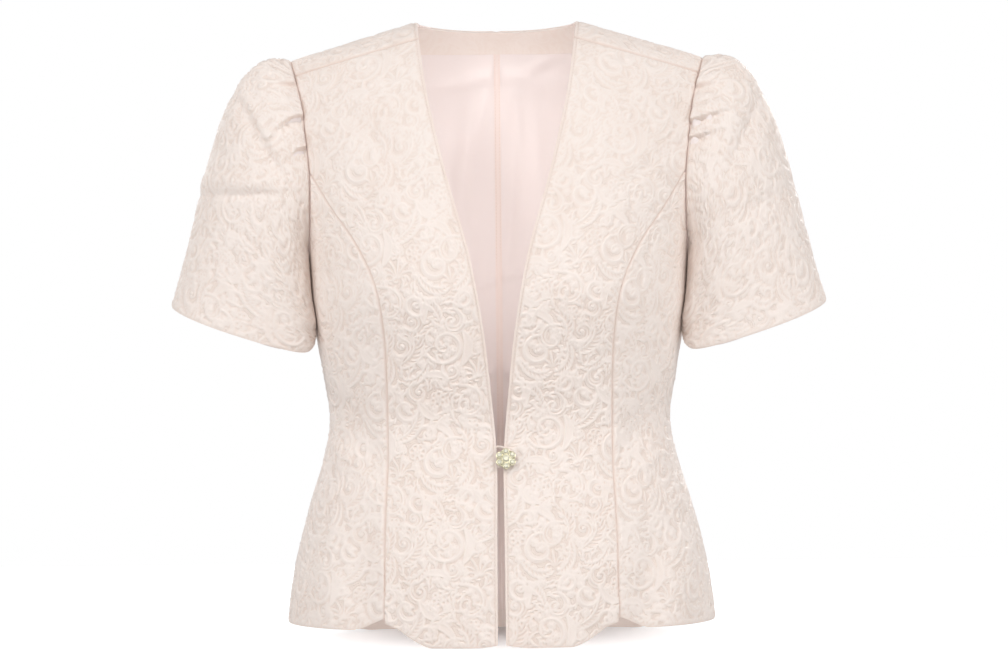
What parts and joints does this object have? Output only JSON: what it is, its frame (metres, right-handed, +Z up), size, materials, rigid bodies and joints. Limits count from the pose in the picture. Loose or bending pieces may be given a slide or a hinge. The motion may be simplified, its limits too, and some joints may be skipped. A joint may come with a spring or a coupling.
{
  "type": "short-sleeved suit jacket",
  "caption": "Collarless V-neck suit jacket in relief-woven brocade, with gathered short sleeves, a nipped waist, a scalloped flared hem and a jewelled button at the waist.",
  "frame": {"origin": "midway between the two neck points, at the top of the shoulder seams", "axes": "+X towards the wearer's left, -Y out of the front, +Z up"},
  "size_m": [0.641, 0.3039, 0.6063],
  "materials": {
    "brocade": "satin figure in relief on a matt ground",
    "lining": "satin",
    "gilt": "polished pale gilt",
    "stone": "cut and polished"
  },
  "bodies": {
    "root": {"front_right": "brocade", "front_left": "brocade", "side_front_right": "brocade", "side_front_left": "brocade", "back_right": "brocade", "back_left": "brocade", "sleeve_right": "brocade", "sleeve_left": "brocade", "back_lining_right": "lining", "back_lining_left": "lining", "neck_facing": "brocade", "button_loop": "brocade", "button_plate": "gilt", "button_shank": "gilt", "button_stone_centre": "stone", "button_stone_1": "stone", "button_stone_2": "stone", "button_stone_3": "stone", "button_stone_4": "stone", "button_stone_5": "stone", "button_stone_6": "stone"}
  },
  "joints": []
}
